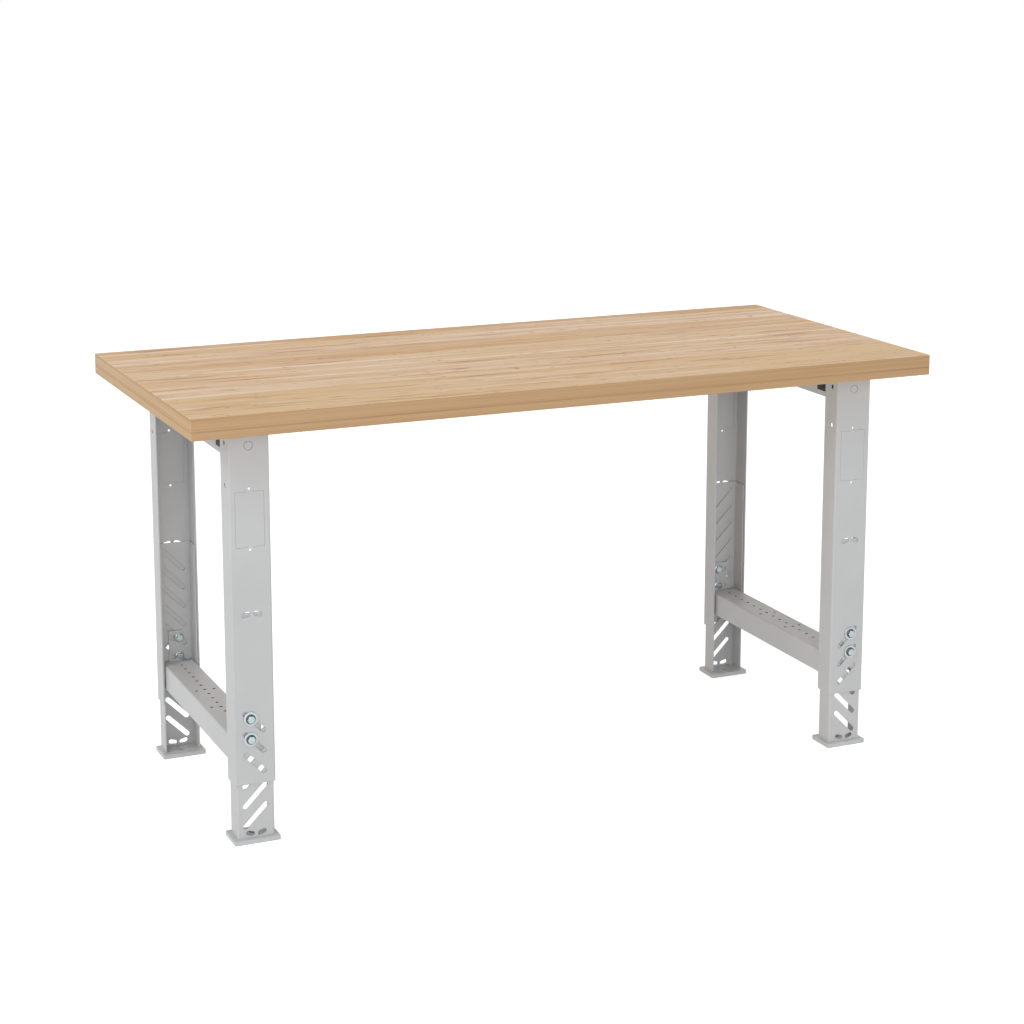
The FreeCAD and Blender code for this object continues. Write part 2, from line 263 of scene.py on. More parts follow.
def make_piece(name, body, slot, material, points, normals, faces, flipped=False):
    """Make one piece from points in millimetres that stands for the node of its name."""
    if flipped:
        faces = [face[::-1] for face in faces]
    mesh = bpy.data.meshes.new(name)
    mesh.from_pydata([point / 1000 for point in points], [], faces)
    mesh.polygons.foreach_set("use_smooth", [True] * len(faces))
    mesh.materials.append(material)
    if normals:
        mesh.normals_split_custom_set_from_vertices(normals)
    else:
        mesh.set_sharp_from_angle(angle=math.radians(sharp_angle))
    piece = bpy.data.objects.new(name + "_piece", mesh)
    bpy.context.scene.collection.objects.link(piece)
    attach(piece, body)
    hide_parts(name)
    return piece


def paint_hole_shade(pieces, holes, material):
    """Give the walls of the tight holes, which come first, a darker finish of their own:
    painted shade.
    """
    count = (2 * edge_steps + 1) * sum(len(hole) for hole in holes)
    for piece in pieces:
        piece.data.materials.append(material)
        for number in range(count):
            piece.data.polygons[number].material_index = 1


def make_at_corners(piece, body, slot, material, shape):
    """Make the four like pieces of the corners from the front left one's shape."""
    points, normals, faces = shape
    made = []
    for side in sides:
        for end in ends:
            origin = at_corner(Vector((0, 0, 0)), end, side)
            placed = [at_corner(point, end, side) for point in points]
            turned = [at_corner(normal, end, side) - origin for normal in normals]
            made.append(make_piece(f"{end}_{side}_{piece}", body.format(end=end, side=side),
                                   slot, material, placed, turned, faces, side == "right"))
    return made


# The walls of the small holes and slits are painted a darker grey, as painted shade for the
# shadow inside them.
grey_powder_coat = powder_coat("grey_powder_coat", "#C1C2C3", "#BDBEBF")
painted_shade_coat = powder_coat("painted_shade_coat", "#6C6E71", "#64666A")


def foot_plate():
    """Return the shape of the front left foot plate."""
    x, near, far = foot_width / 2, -foot_front_overhang, foot_depth - foot_front_overhang
    outline = rounded([(-x, near), (x, near), (x, far), (-x, far)], foot_corner)
    points, normals, faces = cut_sheet(outline, [round_hole(0, anchor_setback, anchor_hole)],
                                       foot_thickness, foot_ease)
    lift = Vector((0, 0, foot_thickness / 2))
    return [point + lift for point in points], normals, faces


make_at_corners("foot_plate", "{end}_{side}_foot", "grey_paint", grey_powder_coat,
                foot_plate())


# Leg inserts
# Four channels bent from 2.6 mm sheet steel, each with a column of ten diagonal slots
# and two small leaning slots punched before bending. They slide in the upper legs.
sheet = 2.6
sheet_ease = 0.35
bend_radius = 1.6
bend_steps = 8
flange_corner = 3.0
web_gap = 0.3
insert_width = 79.6
insert_flange_depth = 42.6
insert_top = 483.5
slot_pitch = 43.2
slot_width = 11.0
slot_angle = 45.0
slot_end_steps = 14
insert_slots = 10
insert_slot_first = 55.0
insert_slot_reach = 21.5
small_slot_length = 19.3
small_slot_width = 10.2
small_slot_tilt = 16.0
small_slot_offset = 12.5
insert_small_slots = 18.5
outer_bend = bend_radius + sheet
middle_bend = bend_radius + sheet / 2
bend_length = middle_bend * math.radians(90)
least_crossing = 0.01


def slot_hole(x, y, length, width, tilt):
    """Return the loop of a round-ended slot, tilted in degrees."""
    reach = (length - width) / 2
    loop = (turn(reach, 0, width / 2, -90, 90, slot_end_steps)
            + turn(-reach, 0, width / 2, 90, 270, slot_end_steps))
    lean = math.radians(tilt)
    return [Vector((x + p.x * math.cos(lean) - p.y * math.sin(lean),
                    y + p.x * math.sin(lean) + p.y * math.cos(lean))) for p in loop]


def diagonal_slots(first, count, reach, lean):
    """Return the loops of a column of diagonal slots, one pitch apart."""
    length = 2 * reach / math.cos(math.radians(slot_angle)) + slot_width
    return [slot_hole(0, first + number * slot_pitch, length, slot_width, lean * slot_angle)
            for number in range(count)]


def small_slot_pair(height, lean):
    """Return the loops of two small slots that lean towards or from each other."""
    return [slot_hole(side * small_slot_offset, height, small_slot_length, small_slot_width,
                      side * lean * small_slot_tilt) for side in (-1, 1)]


def bend_lines(width):
    """Return the places across a flat blank where its two bends are stepped."""
    lines = []
    for step in range(bend_steps + 1):
        place = width / 2 - outer_bend + bend_length * step / bend_steps
        lines += [-place, place]
    return lines


def split_at(loop, lines):
    """Add points to a loop where its edges cross the bend lines."""
    found = []
    for number, point in enumerate(loop):
        onward = loop[(number + 1) % len(loop)]
        found.append(point)
        step = onward.x - point.x
        low, high = sorted((point.x, onward.x))
        crossed = [line for line in lines
                   if low + least_crossing < line < high - least_crossing]
        for line in sorted(crossed, reverse=step < 0):
            found.append(point.lerp(onward, (line - point.x) / step))
    return found


def folder(width, upright):
    """Return the function that folds a flat blank's points into a channel.

    An upright channel has its web in front; a lying one has it on top.
    """
    flat_half = width / 2 - outer_bend

    def fold(across, along, height):
        side = 1 if across > 0 else -1
        past = min(max(abs(across) - flat_half, 0), bend_length)
        angle = past / middle_bend
        radius = middle_bend + height
        reach = min(abs(across), flat_half) + radius * math.sin(angle)
        depth = outer_bend - radius * math.cos(angle)
        depth += max(abs(across) - flat_half - bend_length, 0)
        outward = (side * math.sin(angle), -math.cos(angle))
        onward = (math.cos(angle), side * math.sin(angle))
        if upright:
            return (Vector((side * reach, depth, along)), Vector((onward[0], onward[1], 0)),
                    Vector((0, 0, 1)), Vector((outward[0], outward[1], 0)))
        return (Vector((side * reach, along, -depth)), Vector((onward[0], 0, -onward[1])),
                Vector((0, 1, 0)), Vector((outward[0], 0, -outward[1])))
    return fold


def blank_half(width, depth):
    """Return half the width of the flat blank of a channel."""
    return width / 2 - outer_bend + bend_length + depth - outer_bend


def leg_insert():
    """Return the shape of the front left leg insert."""
    half = blank_half(insert_width, insert_flange_depth)
    lines = bend_lines(insert_width)
    outline = rounded([(-half, foot_thickness), (half, foot_thickness), (half, insert_top),
                       (-half, insert_top)], flange_corner)
    holes = diagonal_slots(insert_slot_first, insert_slots, insert_slot_reach, 1)
    holes += small_slot_pair(insert_small_slots, 1)
    points, normals, faces = cut_sheet(split_at(outline, lines), holes, sheet, sheet_ease,
                                       folder(insert_width, True), lines)
    setback = Vector((0, sheet + web_gap, 0))
    return [point + setback for point in points], normals, faces


make_at_corners("leg_insert", "{end}_{side}_foot", "grey_paint", grey_powder_coat,
                leg_insert())


# Stretchers
# Two channels bent from the same sheet, web on top, between the inserts of a side. A row
# of holes runs along the top, with two more on each side of it at the middle.
stretcher_top = 213.0
stretcher_height = 53.5
stretcher_width = 71.4
stretcher_notch = 17.6
end_plate_setback = 5.8
row_holes = 17
row_pitch = 30.4
row_hole = 6.5
side_hole_spacing = 38.8
side_pair_spacing = 114.0
notch_corner = 1.0
notch_lip = 1.5


def at_side(points, side):
    """Move a side frame's points to the left or the right of the bench."""
    shift = Vector((-leg_centre if side == "left" else leg_centre, 0, 0))
    return [point + shift for point in points]


def stretcher_holes():
    """Return the loops of the row of holes and of the four holes beside it."""
    holes = [round_hole(0, (number - (row_holes - 1) / 2) * row_pitch, row_hole)
             for number in range(row_holes)]
    for x in (-side_hole_spacing / 2, side_hole_spacing / 2):
        for y in (-side_pair_spacing / 2, side_pair_spacing / 2):
            holes.append(round_hole(x, y, row_hole))
    return holes


def stretcher():
    """Return the shape of a stretcher, lying along the bench's depth."""
    half = blank_half(stretcher_width, stretcher_height)
    notch_half = stretcher_width / 2 - outer_bend - notch_lip
    tip = -frame_front - end_plate_setback - sheet
    root = tip - stretcher_notch
    lines = bend_lines(stretcher_width)
    outline = rounded([(-half, -tip), (-notch_half, -tip), (-notch_half, -root),
                       (notch_half, -root), (notch_half, -tip), (half, -tip),
                       (half, tip), (notch_half, tip), (notch_half, root),
                       (-notch_half, root), (-notch_half, tip), (-half, tip)], notch_corner)
    points, normals, faces = cut_sheet(split_at(outline, lines), [], sheet, sheet_ease,
                                       folder(stretcher_width, False), lines,
                                       stretcher_holes())
    lift = Vector((0, 0, stretcher_top))
    return [point + lift for point in points], normals, faces


points, normals, faces = stretcher()
for side in sides:
    piece = make_piece(side + "_stretcher", side + "_stretcher_bar", "grey_paint",
                       grey_powder_coat, at_side(points, side), normals, faces)
    # The walls of the row holes get the painted shade.
    paint_hole_shade([piece], stretcher_holes(), painted_shade_coat)


# Stretcher end plates
# Four flat plates of the same sheet, one welded to each end of a stretcher. A tab stands
# up inside the leg, with two level slots that the clamp bolts pass through.
tab_half = 16.0
tab_top = 280.0
tab_slot_length = 27.0
tab_slot_width = 11.0
bolt_heights = (263.0, 219.8)
plate_height = 24.0
plate_corner = 1.0


def end_plate():
    """Return the shape of the front left end plate."""
    half = stretcher_width / 2
    bottom = stretcher_top - plate_height
    shoulder = stretcher_top - outer_bend
    outline = rounded([(-half, bottom), (half, bottom), (half, shoulder),
                       (tab_half, shoulder), (tab_half, tab_top), (-tab_half, tab_top),
                       (-tab_half, shoulder), (-half, shoulder)], plate_corner)
    holes = [slot_hole(0, height, tab_slot_length, tab_slot_width, 0)
             for height in bolt_heights]

    def stand(across, along, height):
        return (Vector((across, end_plate_setback + sheet / 2 - height, along)),
                Vector((1, 0, 0)), Vector((0, 0, 1)), Vector((0, -1, 0)))
    return cut_sheet(outline, holes, sheet, sheet_ease, stand)


make_at_corners("stretcher_end_plate", "{side}_stretcher_bar", "grey_paint",
                grey_powder_coat, end_plate())


# Upper legs
# Four channels bent from the same sheet, a little wider than the inserts inside them. Each
# has a cable knock-out and a round knock-out, held by small tabs. Paint all but fills the
# slits round them, so these are drawn finer than they were cut.
leg_width = 86.0
leg_flange_depth = 50.0
leg_bottom = 124.5
top_underside = 863.5
leg_slots = 3
leg_slot_first = 168.6
leg_slot_reach = 18.9
leg_small_slots = 481.0
slit = 0.3
round_slit = 0.15
knockout_tab = 5.0
round_knockout_tab = 3.0
cable_half_width = 29.95
cable_half_height = 56.7
cable_middle = 676.5
pry_hole = 5.0
pry_hole_offset = 62.5
round_knockout = 18.0
round_knockout_height = 826.5
flange_hole = 10.0
flange_hole_setback = 22.0
flange_hole_heights = (745.0, 831.5)


def cable_knockout():
    """Return the loops of the two slits of the cable knock-out and its pry holes."""
    x, z = cable_half_width, cable_half_height
    half_slit = [(-knockout_tab, -z), (-knockout_tab, slit - z), (slit - x, slit - z),
                 (slit - x, z - slit), (-knockout_tab, z - slit), (-knockout_tab, z),
                 (-x, z), (-x, -z)]
    loops = []
    for side in (-1, 1):
        loop = [Vector((-side * a, cable_middle + b)) for a, b in half_slit]
        loops.append(loop if side == -1 else loop[::-1])
        loops.append(round_hole(0, cable_middle + side * pry_hole_offset, pry_hole))
    return loops


def round_knockout_slit():
    """Return the loop of the slit round the round knock-out, open at its top tab."""
    outer, inner = round_knockout / 2, round_knockout / 2 - round_slit
    gap = math.degrees(math.asin(round_knockout_tab / 2 / outer))
    return (turn(0, round_knockout_height, outer, 90 + gap, 450 - gap, hole_steps)
            + turn(0, round_knockout_height, inner, 450 - gap, 90 + gap, hole_steps))


def upper_leg():
    """Return the shape of the front left upper leg."""
    half = blank_half(leg_width, leg_flange_depth)
    lines = bend_lines(leg_width)
    outline = rounded([(-half, leg_bottom), (half, leg_bottom), (half, top_underside),
                       (-half, top_underside)], flange_corner)
    holes = diagonal_slots(leg_slot_first, leg_slots, leg_slot_reach, -1)
    holes += small_slot_pair(leg_small_slots, -1) + cable_knockout()
    for side in (-1, 1):
        for height in flange_hole_heights:
            place = half - leg_flange_depth + flange_hole_setback
            holes.append(round_hole(side * place, height, flange_hole))
    return cut_sheet(split_at(outline, lines), holes, sheet, sheet_ease,
                     folder(leg_width, True), lines, [round_knockout_slit()])


# The walls of the round knock-out's slit get the painted shade.
paint_hole_shade(make_at_corners("upper_leg", "bench", "grey_paint", grey_powder_coat,
                           upper_leg()), [round_knockout_slit()], painted_shade_coat)


# Upper rails
# Two channels of the same sheet between the tops of the upper legs of a side, web on
# top against the wood, with a window through both flanges near each end.
rail_width = 80.8
rail_height = 60.5
rail_tip = 291.4
window_start = 12.0
window_length = 73.0
window_height = 32.0
window_lip = 11.5
window_corner = 1.5
rail_screw_hole = 8.5
screw_places = (-187.5, -62.5, 62.5, 187.5)


def upper_rail():
    """Return the shape of an upper rail, lying along the bench's depth."""
    half = blank_half(rail_width, rail_height)
    lines = bend_lines(rail_width)
    outline = rounded([(-half, -rail_tip), (half, -rail_tip), (half, rail_tip),
                       (-half, rail_tip)], window_corner)
    holes = [round_hole(0, y, rail_screw_hole) for y in screw_places]
    low = half - window_lip - window_height
    high = half - window_lip
    near, far = rail_tip - window_start - window_length, rail_tip - window_start
    for x0, x1 in ((low, high), (-high, -low)):
        for y0, y1 in ((near, far), (-far, -near)):
            holes.append(rounded([(x0, y0), (x1, y0), (x1, y1), (x0, y1)], window_corner))
    points, normals, faces = cut_sheet(split_at(outline, lines), holes, sheet, sheet_ease,
                                       folder(rail_width, False), lines)
    lift = Vector((0, 0, top_underside))
    return [point + lift for point in points], normals, faces


points, normals, faces = upper_rail()
for side in sides:
    make_piece(side + "_upper_rail", "bench", "grey_paint", grey_powder_coat,
               at_side(points, side), normals, faces)


# Window plugs
# Eight black moulded polypropylene plugs pressed into the windows of the upper rails. Each
# is a shallow tray, hollow behind, with its face just inside the rail's.
plug_gap = 0.4
plug_inset = 0.6
plug_wall = 2.0
plug_depth = 9.0
plug_corner = 1.8
plug_ease = 0.5
plug_round_share = 0.3
rail_end_gap = 2.0


def moulded_plastic(name, tone):
    """Black polypropylene, moulded with a fine spark texture that dulls its shine.

    The texture's grit is about 0.1 mm, and is drawn at 0.8 mm so that it shows.
    """
    material, tree, shader, place = start_material(name)
    grit = add(tree, "ShaderNodeTexNoise", {"Vector": place, "Scale": per(0.8), "Detail": 3})
    dull = add(tree, "ShaderNodeMapRange", {"Value": grit, "To Min": 0.62, "To Max": 0.8})
    bump = add(tree, "ShaderNodeBump", {"Height": grit, "Strength": 0.2, "Distance": 0.0001})
    feed(shader, {"Base Color": linear(tone), "Roughness": dull, "Normal": bump, "IOR": 1.49})
    return material


def loft(loops):
    """Return points and faces of like loops joined in turn and closed at both ends."""
    points, faces, size = [], [], len(loops[0])
    for level, loop in enumerate(loops):
        points += loop
        if level:
            base = (level - 1) * size
            for number in range(size):
                onward = (number + 1) % size
                faces.append((base + number, base + onward, base + size + onward,
                              base + size + number))
    faces.append(tuple(range(size))[::-1])
    faces.append(tuple(range(len(points) - size, len(points))))
    return points, faces


def window_plugs():
    """Return the two plugs at the front left end of a rail, faces outwards."""
    face = rail_width / 2 - plug_inset
    near = sheet + rail_end_gap + window_start + plug_gap
    far = near + window_length - 2 * plug_gap
    low = top_underside - rail_height + window_lip + plug_gap
    high = low + window_height - 2 * plug_gap

    def loop(inset, depth):
        outline = rounded([(near + inset, low + inset), (far - inset, low + inset),
                           (far - inset, high - inset), (near + inset, high - inset)],
                          max(plug_corner - inset, plug_ease))
        return [Vector((face - depth, point.x, point.y)) for point in outline]

    turned_in = plug_ease * plug_round_share
    points, faces = loft([loop(plug_wall, plug_wall), loop(plug_wall, plug_depth),
                          loop(0, plug_depth), loop(0, plug_ease),
                          loop(turned_in, turned_in), loop(plug_ease, 0)])
    base = len(points)
    points += [Vector((-point.x, point.y, point.z)) for point in points]
    faces += [tuple(base + number for number in face)[::-1] for face in faces]
    return points, [], faces


black_polypropylene = moulded_plastic("black_polypropylene", "#141414")
make_at_corners("window_plugs", "bench", "black_plastic", black_polypropylene,
                window_plugs())


# Clamp bolts, washers and nuts
# Two flanged hexagon bolts at each leg, of zinc-plated steel, with a wide flat washer
# under each head and a flanged nut inside. They clamp leg, insert and end plate.
bolt_diameter = 9.5
bolt_flats = 15.0
bolt_head_height = 2.6
bolt_collar = 20.6
bolt_collar_thickness = 2.4
bolt_shank = 16.8
# Faces of the bolts that point less than this share to front or rear get painted shade.
bolt_shade_share = 0.86
thread_pitch = 1.5
thread_depth = 0.45
threaded_length = 9.0
thread_turn_rings = 6
washer_diameter = 30.0
washer_hole = 10.0
washer_thickness = 2.0
washer_ease = 0.4
clamp_gap = 0.3
clamp_offset = 8.0
nut_setback = 8.7
nut_height = 5.6
nut_collar_thickness = 2.2
nut_bore = 9.7
nut_seat_chamfer = 0.4
nut_face_chamfer = 0.15
# Faces of the nuts that point less than this share to front or rear get painted shade.
nut_shade_share = 0.72
collar_ease = 0.5
collar_ledge = 0.3
collar_edge_share = 0.3
head_chamfer = 0.9
head_chamfer_share = 0.7
head_corner_spare = 0.02
head_top_inset = 0.3
lathe_steps = 48


def zinc_plate(name, pale, deep):
    """Bright zinc on steel: a bluish metal, slightly cloudy from the passivating bath.

    The clouds are about 6 mm across. The fine marks of the plating barrel are drawn
    0.8 mm wide so that they show.
    """
    material, tree, shader, place = start_material(name)
    cloud = add(tree, "ShaderNodeTexNoise", {"Vector": place, "Scale": per(6), "Detail": 4})
    tone = add(tree, "ShaderNodeValToRGB", {"Fac": cloud},
               [(0.3, linear(deep)), (0.7, linear(pale))])
    marks = add(tree, "ShaderNodeTexNoise",
                {"Vector": place, "Scale": per(0.8), "Detail": 2, "Distortion": 1.5})
    gloss = add(tree, "ShaderNodeMapRange", {"Value": marks, "To Min": 0.28, "To Max": 0.46})
    bump = add(tree, "ShaderNodeBump", {"Height": marks, "Strength": 0.1, "Distance": 0.0001})
    feed(shader, {"Base Color": tone, "Roughness": gloss, "Normal": bump, "Metallic": 1.0})
    return material


def lathe(rings):
    """Return points and faces of rings of points stacked along Z, open at both ends."""
    points, faces = [], []
    for circle in rings:
        points += circle
    for level in range(len(rings) - 1):
        for number in range(lathe_steps):
            a = level * lathe_steps + number
            b = level * lathe_steps + (number + 1) % lathe_steps
            faces.append((a, b, b + lathe_steps, a + lathe_steps))
    return points, faces


def ring(height, radius, flats=None):
    """Return a ring of points; with flats it is a hexagon trimmed to the radius."""
    points = []
    for step in range(lathe_steps):
        angle = 2 * math.pi * step / lathe_steps
        reach = radius
        if flats:
            off_middle = (angle + math.pi / 6) % (math.pi / 3) - math.pi / 6
            reach = min(radius, flats / 2 / math.cos(math.pi / 6 - abs(off_middle)))
        points.append(Vector((reach * math.cos(angle), reach * math.sin(angle), height)))
    return points


def thread_rings(start, length, radius):
    """Return rings that wind a thread round a shank, upwards from its start."""
    rings = []
    steps = int(length / thread_pitch * thread_turn_rings)
    for level in range(steps + 1):
        height = start + length * level / steps
        points = []
        for step in range(lathe_steps):
            angle = 2 * math.pi * step / lathe_steps
            phase = (height / thread_pitch + step / lathe_steps) % 1
            reach = radius - thread_depth * (1 - abs(2 * phase - 1))
            points.append(Vector((reach * math.cos(angle), reach * math.sin(angle), height)))
        rings.append(points)
    return rings


def flanged_head(flats, collar, collar_thickness, height):
    """Return the rings of a flanged hexagon head, from its seat to its chamfered top."""
    corner = flats / 2 / math.cos(math.pi / 6)
    edge = collar / 2
    return [ring(0, edge - collar_ease), ring(collar_ease / 2, edge),
            ring(collar_thickness * collar_edge_share, edge),
            ring(collar_thickness, flats / 2 + collar_ledge),
            ring(collar_thickness, corner + head_corner_spare, flats),
            ring(height - head_chamfer, corner + head_corner_spare, flats),
            ring(height - head_chamfer / 2, corner - head_chamfer * head_chamfer_share, flats),
            ring(height, flats / 2 - head_top_inset, flats)]


def solid_turning(rings):
    """Return points and faces of stacked rings, closed at both ends by a fan."""
    points, faces = lathe(rings)
    ends_of_stack = (range(lathe_steps)[::-1], range(len(points) - lathe_steps, len(points)))
    for edge in ends_of_stack:
        middle = Vector((0, 0, 0))
        for number in edge:
            middle += points[number] / lathe_steps
        points.append(middle)
        faces += [(edge[number], edge[(number + 1) % lathe_steps], len(points) - 1)
                  for number in range(lathe_steps)]
    return points, faces


def clamp_bolt():
    """Return a bolt with its head upwards and its seat at height zero."""
    radius = bolt_diameter / 2
    return solid_turning([ring(-bolt_shank, radius - 2 * thread_depth)]
                         + thread_rings(-bolt_shank, threaded_length, radius)
                         + [ring(threaded_length - bolt_shank, radius), ring(0, radius)]
                         + flanged_head(bolt_flats, bolt_collar, bolt_collar_thickness,
                                        bolt_collar_thickness + bolt_head_height))


def clamp_nut():
    """Return a nut with its collar at height zero and its bore open."""
    bore = nut_bore / 2
    return lathe([ring(nut_seat_chamfer, bore), ring(0, bore + nut_seat_chamfer)]
                 + flanged_head(bolt_flats, bolt_collar, nut_collar_thickness, nut_height)
                 + [ring(nut_height, bore + nut_face_chamfer),
                    ring(nut_height - nut_face_chamfer, bore), ring(nut_seat_chamfer, bore)])


def face_front(point, x, y, z):
    """Turn an upright fastener's point so that its head faces the front."""
    return Vector((x + point.x, y - point.z, z + point.y))


def face_rear(point, x, y, z):
    """Turn an upright fastener's point so that its head faces the rear."""
    return Vector((x + point.x, y + point.z, z - point.y))


def copies(points, faces, facing, places):
    """Return like fasteners as one mesh, each turned its way at its own place."""
    all_points, all_faces = [], []
    for x, y, z in places:
        base = len(all_points)
        all_points += [facing(point, x, y, z) for point in points]
        all_faces += [tuple(base + number for number in face) for face in faces]
    return all_points, [], all_faces


def clamp_pair(points, faces, facing, y):
    """Return two like fasteners at the clamp's two heights."""
    return copies(points, faces, facing, [(-clamp_offset, y, z) for z in bolt_heights])


def shade_sides(pieces, material, share):
    """Give the faces that point less than a share to front or rear a darker copy of the
    finish, as painted shade.
    """
    for piece in pieces:
        piece.data.materials.append(material)
        for polygon in piece.data.polygons:
            if abs(polygon.normal.y) < share:
                polygon.material_index = 1


# Heads and nuts are bright zinc on their faces; their sides and threads get a darker copy of
# it, which is painted shade.
bright_zinc = zinc_plate("bright_zinc", "#B9C2C5", "#A5B0B4")
shaded_zinc = zinc_plate("shaded_zinc", "#5C6468", "#4C5458")

points, faces = clamp_bolt()
bolts = make_at_corners("clamp_bolts", "{end}_{side}_clamp", "zinc", bright_zinc,
                        clamp_pair(points, faces, face_front, -clamp_gap - washer_thickness))
shade_sides(bolts, shaded_zinc, bolt_shade_share)
points, _, faces = cut_sheet(round_hole(0, 0, washer_diameter),
                             [round_hole(0, 0, washer_hole)], washer_thickness, washer_ease)
make_at_corners("clamp_washers", "{end}_{side}_clamp", "zinc", bright_zinc,
                clamp_pair(points, faces, face_front, -clamp_gap - washer_thickness / 2))
points, faces = clamp_nut()
nuts = make_at_corners("clamp_nuts", "{end}_{side}_clamp", "zinc", bright_zinc,
                       clamp_pair(points, faces, face_rear, nut_setback))
shade_sides(nuts, shaded_zinc, nut_shade_share)


# Worktop
# A slab of beech staves glued side by side and in layers, planed, eased and oiled. The
# grain runs along the bench, and the edges show the layers.
top_length = 1676.0
top_depth = 762.0
top_thickness = 44.5
top_ease = 1.5
top_corner = 2.5
stave_width = 57.0
stave_shift = 0.45
glue_line = 882.0
glue_line_sway = 2.4
glue_line_half = 1.6


def grain(tree, place, sizes, detail=3, rough=0.5):
    """Return noise drawn out to the given sizes, in millimetres, along X, Y and Z."""
    stretched = add(tree, "ShaderNodeMapping",
                    {"Vector": place, "Scale": [per(size) for size in sizes]})
    return add(tree, "ShaderNodeTexNoise", {"Vector": stretched, "Scale": 1.0,
                                            "Detail": detail, "Roughness": rough})


def stain(tree, place, colour, tone, sizes, low, high, most, detail=3, rough=0.5):
    """Return a colour with a tone laid over it where a grain of the given sizes is strong.

    The tone sets in where the grain passes low, and its share is the most past high.
    """
    share = add(tree, "ShaderNodeMapRange",
                {"Value": grain(tree, place, sizes, detail, rough), "From Min": low,
                 "From Max": high, "To Min": 0.0, "To Max": most})
    return add(tree, "ShaderNodeMixRGB", {"Fac": share, "Color1": colour,
                                          "Color2": linear(tone)})


def wood_finish(tree, shader, colour, pores):
    """Wire the colour and the oiled, planed surface with its open pores."""
    dull = add(tree, "ShaderNodeMapRange", {"Value": pores, "From Min": 0.3, "From Max": 0.7,
                                            "To Min": 0.66, "To Max": 0.56})
    bump = add(tree, "ShaderNodeBump", {"Height": pores, "Strength": 0.15,
                                        "Distance": 0.0002})
    feed(shader, {"Base Color": colour, "Roughness": dull, "Normal": bump, "IOR": 1.45})


def oiled_beech(name):
    """Steamed beech, planed and oiled: staves a shade apart, pale edges, brown streaks.

    Beech flecks are 0.3 mm wide and are drawn about 5 mm wide, so that they show.
    """
    material, tree, shader, place = start_material(name)

    # Each stave has a shade of its own, and their joints waver a little.
    across = add(tree, "ShaderNodeSeparateXYZ", {"Vector": place}).outputs["Y"]
    count = add(tree, "ShaderNodeMath", {0: across, 1: per(stave_width)},
                operation="MULTIPLY")
    bent = add(tree, "ShaderNodeMath", {0: grain(tree, place, (620, 120, 400)),
                                        1: stave_shift, 2: count},
               operation="MULTIPLY_ADD")
    stave = add(tree, "ShaderNodeMath", {0: bent}, operation="FLOOR")
    within = add(tree, "ShaderNodeMath", {0: bent}, operation="FRACT")
    chance = add(tree, "ShaderNodeTexWhiteNoise", {"W": stave}, noise_dimensions="1D")
    colour = add(tree, "ShaderNodeValToRGB", {"Fac": chance},
                 [(0.0, linear("#ECD1B4")), (0.35, linear("#DDBB87")),
                  (0.7, linear("#E5C8A2")), (1.0, linear("#CF9C62"))])

    # Broad pale bands and long brown streaks run along the staves.
    colour = stain(tree, place, colour, "#EACDB0", sizes=(900, 70, 400), low=0.42, high=0.6,
                   most=0.5, detail=2)
    colour = stain(tree, place, colour, "#C99A65", sizes=(520, 16, 30), low=0.36, high=0.64,
                   most=0.5, detail=5, rough=0.62)

    # A pale line runs beside some joints.
    edge = add(tree, "ShaderNodeMapRange", {"Value": within, "From Max": 0.12})
    seam = add(tree, "ShaderNodeMapRange", {"Value": within, "From Min": 0.14,
                                            "From Max": 0.34, "To Min": 1.0, "To Max": 0.0})
    faint = add(tree, "ShaderNodeMapRange",
                {"Value": grain(tree, place, (700, 60, 400)), "From Min": 0.48,
                 "From Max": 0.6, "To Max": 0.9})
    line = add(tree, "ShaderNodeMath", {0: edge, 1: seam}, operation="MULTIPLY")
    line = add(tree, "ShaderNodeMath", {0: line, 1: faint}, operation="MULTIPLY")
    colour = add(tree, "ShaderNodeMixRGB", {"Fac": line, "Color1": colour,
                                            "Color2": linear("#F2DFCE")})

    # Dark streaks, flecks and small knots lie over the rest.
    colour = stain(tree, place, colour, "#B07840", sizes=(280, 17, 60), low=0.58, high=0.72,
                   most=0.85, detail=4)
    colour = stain(tree, place, colour, "#A8713B", sizes=(70, 8, 20), low=0.64, high=0.76,
                   most=0.75, detail=2)
    colour = stain(tree, place, colour, "#A86F36", sizes=(24, 11, 20), low=0.7, high=0.78,
                   most=0.7, detail=1)
    wood_finish(tree, shader, colour, grain(tree, place, (30, 1.6, 12)))
    return material


def beech_side(name, pale, middle, deep, line_tone):
    """The slab's sawn and sanded sides, where its layers show as level lines.

    The lines are the growth rings, about 3 mm apart, and one wavering glue line.
    """
    material, tree, shader, place = start_material(name)
    colour = add(tree, "ShaderNodeValToRGB",
                 {"Fac": grain(tree, place, (1500, 1500, 3.4), rough=0.6)},
                 [(0.3, linear(deep)), (0.5, linear(middle)), (0.72, linear(pale))])
    colour = stain(tree, place, colour, pale, sizes=(260, 260, 18), low=0.35, high=0.65,
                   most=0.35)
    height = add(tree, "ShaderNodeSeparateXYZ", {"Vector": place}).outputs["Z"]
    sway = add(tree, "ShaderNodeMath", {0: grain(tree, place, (800, 800, 900)),
                                        1: glue_line_sway / 1000, 2: height},
               operation="MULTIPLY_ADD")
    on_line = add(tree, "ShaderNodeMath", {0: sway, 1: glue_line / 1000,
                                           2: glue_line_half / 1000}, operation="COMPARE")
    strong = add(tree, "ShaderNodeMapRange",
                 {"Value": grain(tree, place, (500, 500, 500)), "From Min": 0.3,
                  "From Max": 0.6, "To Min": 0.25, "To Max": 0.7})
    line = add(tree, "ShaderNodeMath", {0: on_line, 1: strong}, operation="MULTIPLY")
    colour = add(tree, "ShaderNodeMixRGB", {"Fac": line, "Color1": colour,
                                            "Color2": linear(line_tone)})
    wood_finish(tree, shader, colour, grain(tree, place, (25, 25, 1.4)))
    return material


